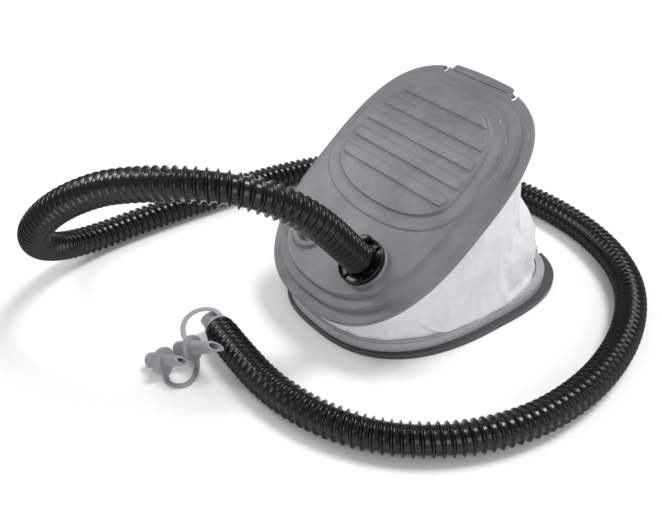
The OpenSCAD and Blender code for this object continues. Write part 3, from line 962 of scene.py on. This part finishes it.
def make_flange(material):
    """Bayonet flange: a dish with a raised rim, six ribs and a thumb lug, on a spigot with two keys."""
    seat = FLANGE_TOP - FLANGE_FLOOR
    flange = lathe("bayonet_flange", [(r, seat + z) for r, z in FLANGE_PROFILE], material)
    parts = [flange_part("rib", box_outline(*RIB), RIB_HEIGHTS, material, SMALL_EDGE, angle)
             for angle in RIB_ANGLES]
    parts.append(flange_part("lug", LUG, LUG_HEIGHTS, material, LUG_EDGE, LUG_ANGLE))
    parts += [flange_part("key", box_outline(*KEY), KEY_HEIGHTS, material, SMALL_EDGE, angle)
              for angle in KEY_ANGLES]
    for part in (flange, *parts):
        smooth_by_angle(part, SHARP)
    join(flange, parts)
    turn_open(flange, (PORT_X, PORT_Y, 0))
    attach(flange, "hose_connector")
    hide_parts("hose_flange")


# ---------------------------------------------------------------- spring and straps

def sweep(name, line, half_wide, half_thick, material, sides=12, power=2.0):
    """Tube or flat strap along a line in mm; a higher power makes its section squarer."""
    line = np.asarray(line, float)
    tangents = np.gradient(line, axis=0)
    tangents /= np.linalg.norm(tangents, axis=1)[:, None]
    across = np.cross((0, 0, 1), tangents)
    across /= np.linalg.norm(across, axis=1)[:, None]
    ups = np.cross(tangents, across)
    a = 2 * np.pi * (np.arange(sides) + 0.5) / sides
    wide = half_wide * np.sign(np.cos(a)) * np.abs(np.cos(a)) ** (2 / power)
    thick = half_thick * np.sign(np.sin(a)) * np.abs(np.sin(a)) ** (2 / power)
    points = (line[:, None] + across[:, None] * wide[None, :, None]
              + ups[:, None] * thick[None, :, None])
    n = len(line)
    faces = [(i * sides + k, (i + 1) * sides + k, (i + 1) * sides + (k + 1) % sides,
              i * sides + (k + 1) % sides) for i in range(n - 1) for k in range(sides)]
    faces.append(tuple(range(sides)))
    faces.append(tuple((n - 1) * sides + k for k in range(sides - 1, -1, -1)))
    obj = new_object(name, points.reshape(-1, 3), faces, material)
    clean(obj)
    smooth_by_angle(obj, 60)
    return obj


SPRING_TURNS = 8
TURN_STEPS = 30
SPRING_R = 22
SPRING_TAPER = 5
SPRING_V = 159
WIRE_R = 1.6
BASE_FLOOR = 3
SPRING_GAPS = (0.1, 0.4)  # from the floor and the deck to the wire


def make_spring(material):
    """Coil spring, drawn bent between the base's floor and the open treadle's deck."""
    low = BASE_FLOOR + WIRE_R + SPRING_GAPS[0]
    top = RIM_Z + DECK_RISE - WALL - WIRE_R - SPRING_GAPS[1]
    centre_y = TOE_Y + SPRING_V
    axis_y = HINGE_Y - (top - HINGE_Z + (HINGE_Z - low) * math.cos(OPEN)) / math.sin(OPEN)
    k = np.linspace(0, 1, SPRING_TURNS * TURN_STEPS + 1)
    turn = 2 * np.pi * SPRING_TURNS * k
    r = SPRING_R - SPRING_TAPER * k
    reach = centre_y - axis_y + r * np.sin(turn)
    line = np.stack([r * np.cos(turn), axis_y + reach * np.cos(OPEN * k),
                     low + reach * np.sin(OPEN * k)], 1)
    spring = sweep("return_coil", line, WIRE_R, WIRE_R, material, 10)
    points = np.array([v.co for v in spring.data.vertices]) / MM
    near = np.array([k[np.linalg.norm(line - p, axis=1).argmin()] for p in points])
    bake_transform(spring)
    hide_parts("return_spring")


STRAP_HALF_WIDE = 2.6
STRAP_HALF_THICK = 1.05
LARGE_STRAP = [(-40, -222.4, 27.2), (-44, -222, 28.2), (-50, -223.5, 30), (-55, -231, 32),
               (-56, -242, 33), (-52, -253, 33), (-44, -261.5, 32), (-36.5, -265.6, 30),
               (-33.3, -266.6, 28.6), (-31.1, -265.6, 27.1)]
SMALL_STRAP = [(-21.6, -261.7, 7.4), (-20.4, -262.4, 3.9), (-15, -266, 1.7), (-5, -275, 1.3),
               (-1, -285, 1.3), (-5, -294, 1.3), (-13, -297.5, 1.3), (-19, -296.3, 1.7),
               (-22, -294.6, 3.1), (-22.9, -293.7, 5.6)]


def make_strap(node, route, material):
    """Flat moulded tether, which runs into what it holds at both ends."""
    strap = sweep(node + "_ribbon", soft_line(route, 8), STRAP_HALF_WIDE, STRAP_HALF_THICK, material,
                  sides=16, power=3.2)
    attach(strap, "base")
    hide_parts(node)
    return strap


# ---------------------------------------------------------------- the build

make_camera()
make_studio()
make_floor()
MATERIALS = make_materials()

SLOTS = {part["node"]: part["material_slot"] for part in frame["record"]["subparts"]}
for node, obj in frame["nodes"].items():
    obj.data.materials.clear()
    obj.data.materials.append(MATERIALS[SLOTS[node]])

hose, hose_line = make_hose(MATERIALS["hose_plastic"])
bend_hose(hose, hose_line)
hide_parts("hose")

# Radius of the edges of each, in mm.
MOULDINGS = {
    "base_plate": 0.8,
    "base_rim": 0.8,
    "hose_cuff": 0.6,
    "large_nozzle": 0.5,
    "small_nozzle": 0.5,
}
BODY = {node: body for body, names in frame["record"]["behaviour"]["bodies"].items() for node in names}
for node, radius in MOULDINGS.items():
    piece = rounded(node, radius)
    piece.data.materials.clear()
    piece.data.materials.append(MATERIALS[SLOTS[node]])
    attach(piece, BODY[node])
    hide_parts(node)

large_strap = make_strap("large_nozzle_strap", LARGE_STRAP, MATERIALS["nozzle_plastic"])
small_strap = make_strap("small_nozzle_strap", SMALL_STRAP, MATERIALS["nozzle_plastic"])

make_treadle(MATERIALS["treadle_plastic"])
make_flange(MATERIALS["flange_plastic"])
make_spring(MATERIALS["steel"])
make_bellows(MATERIALS["coated_fabric"])
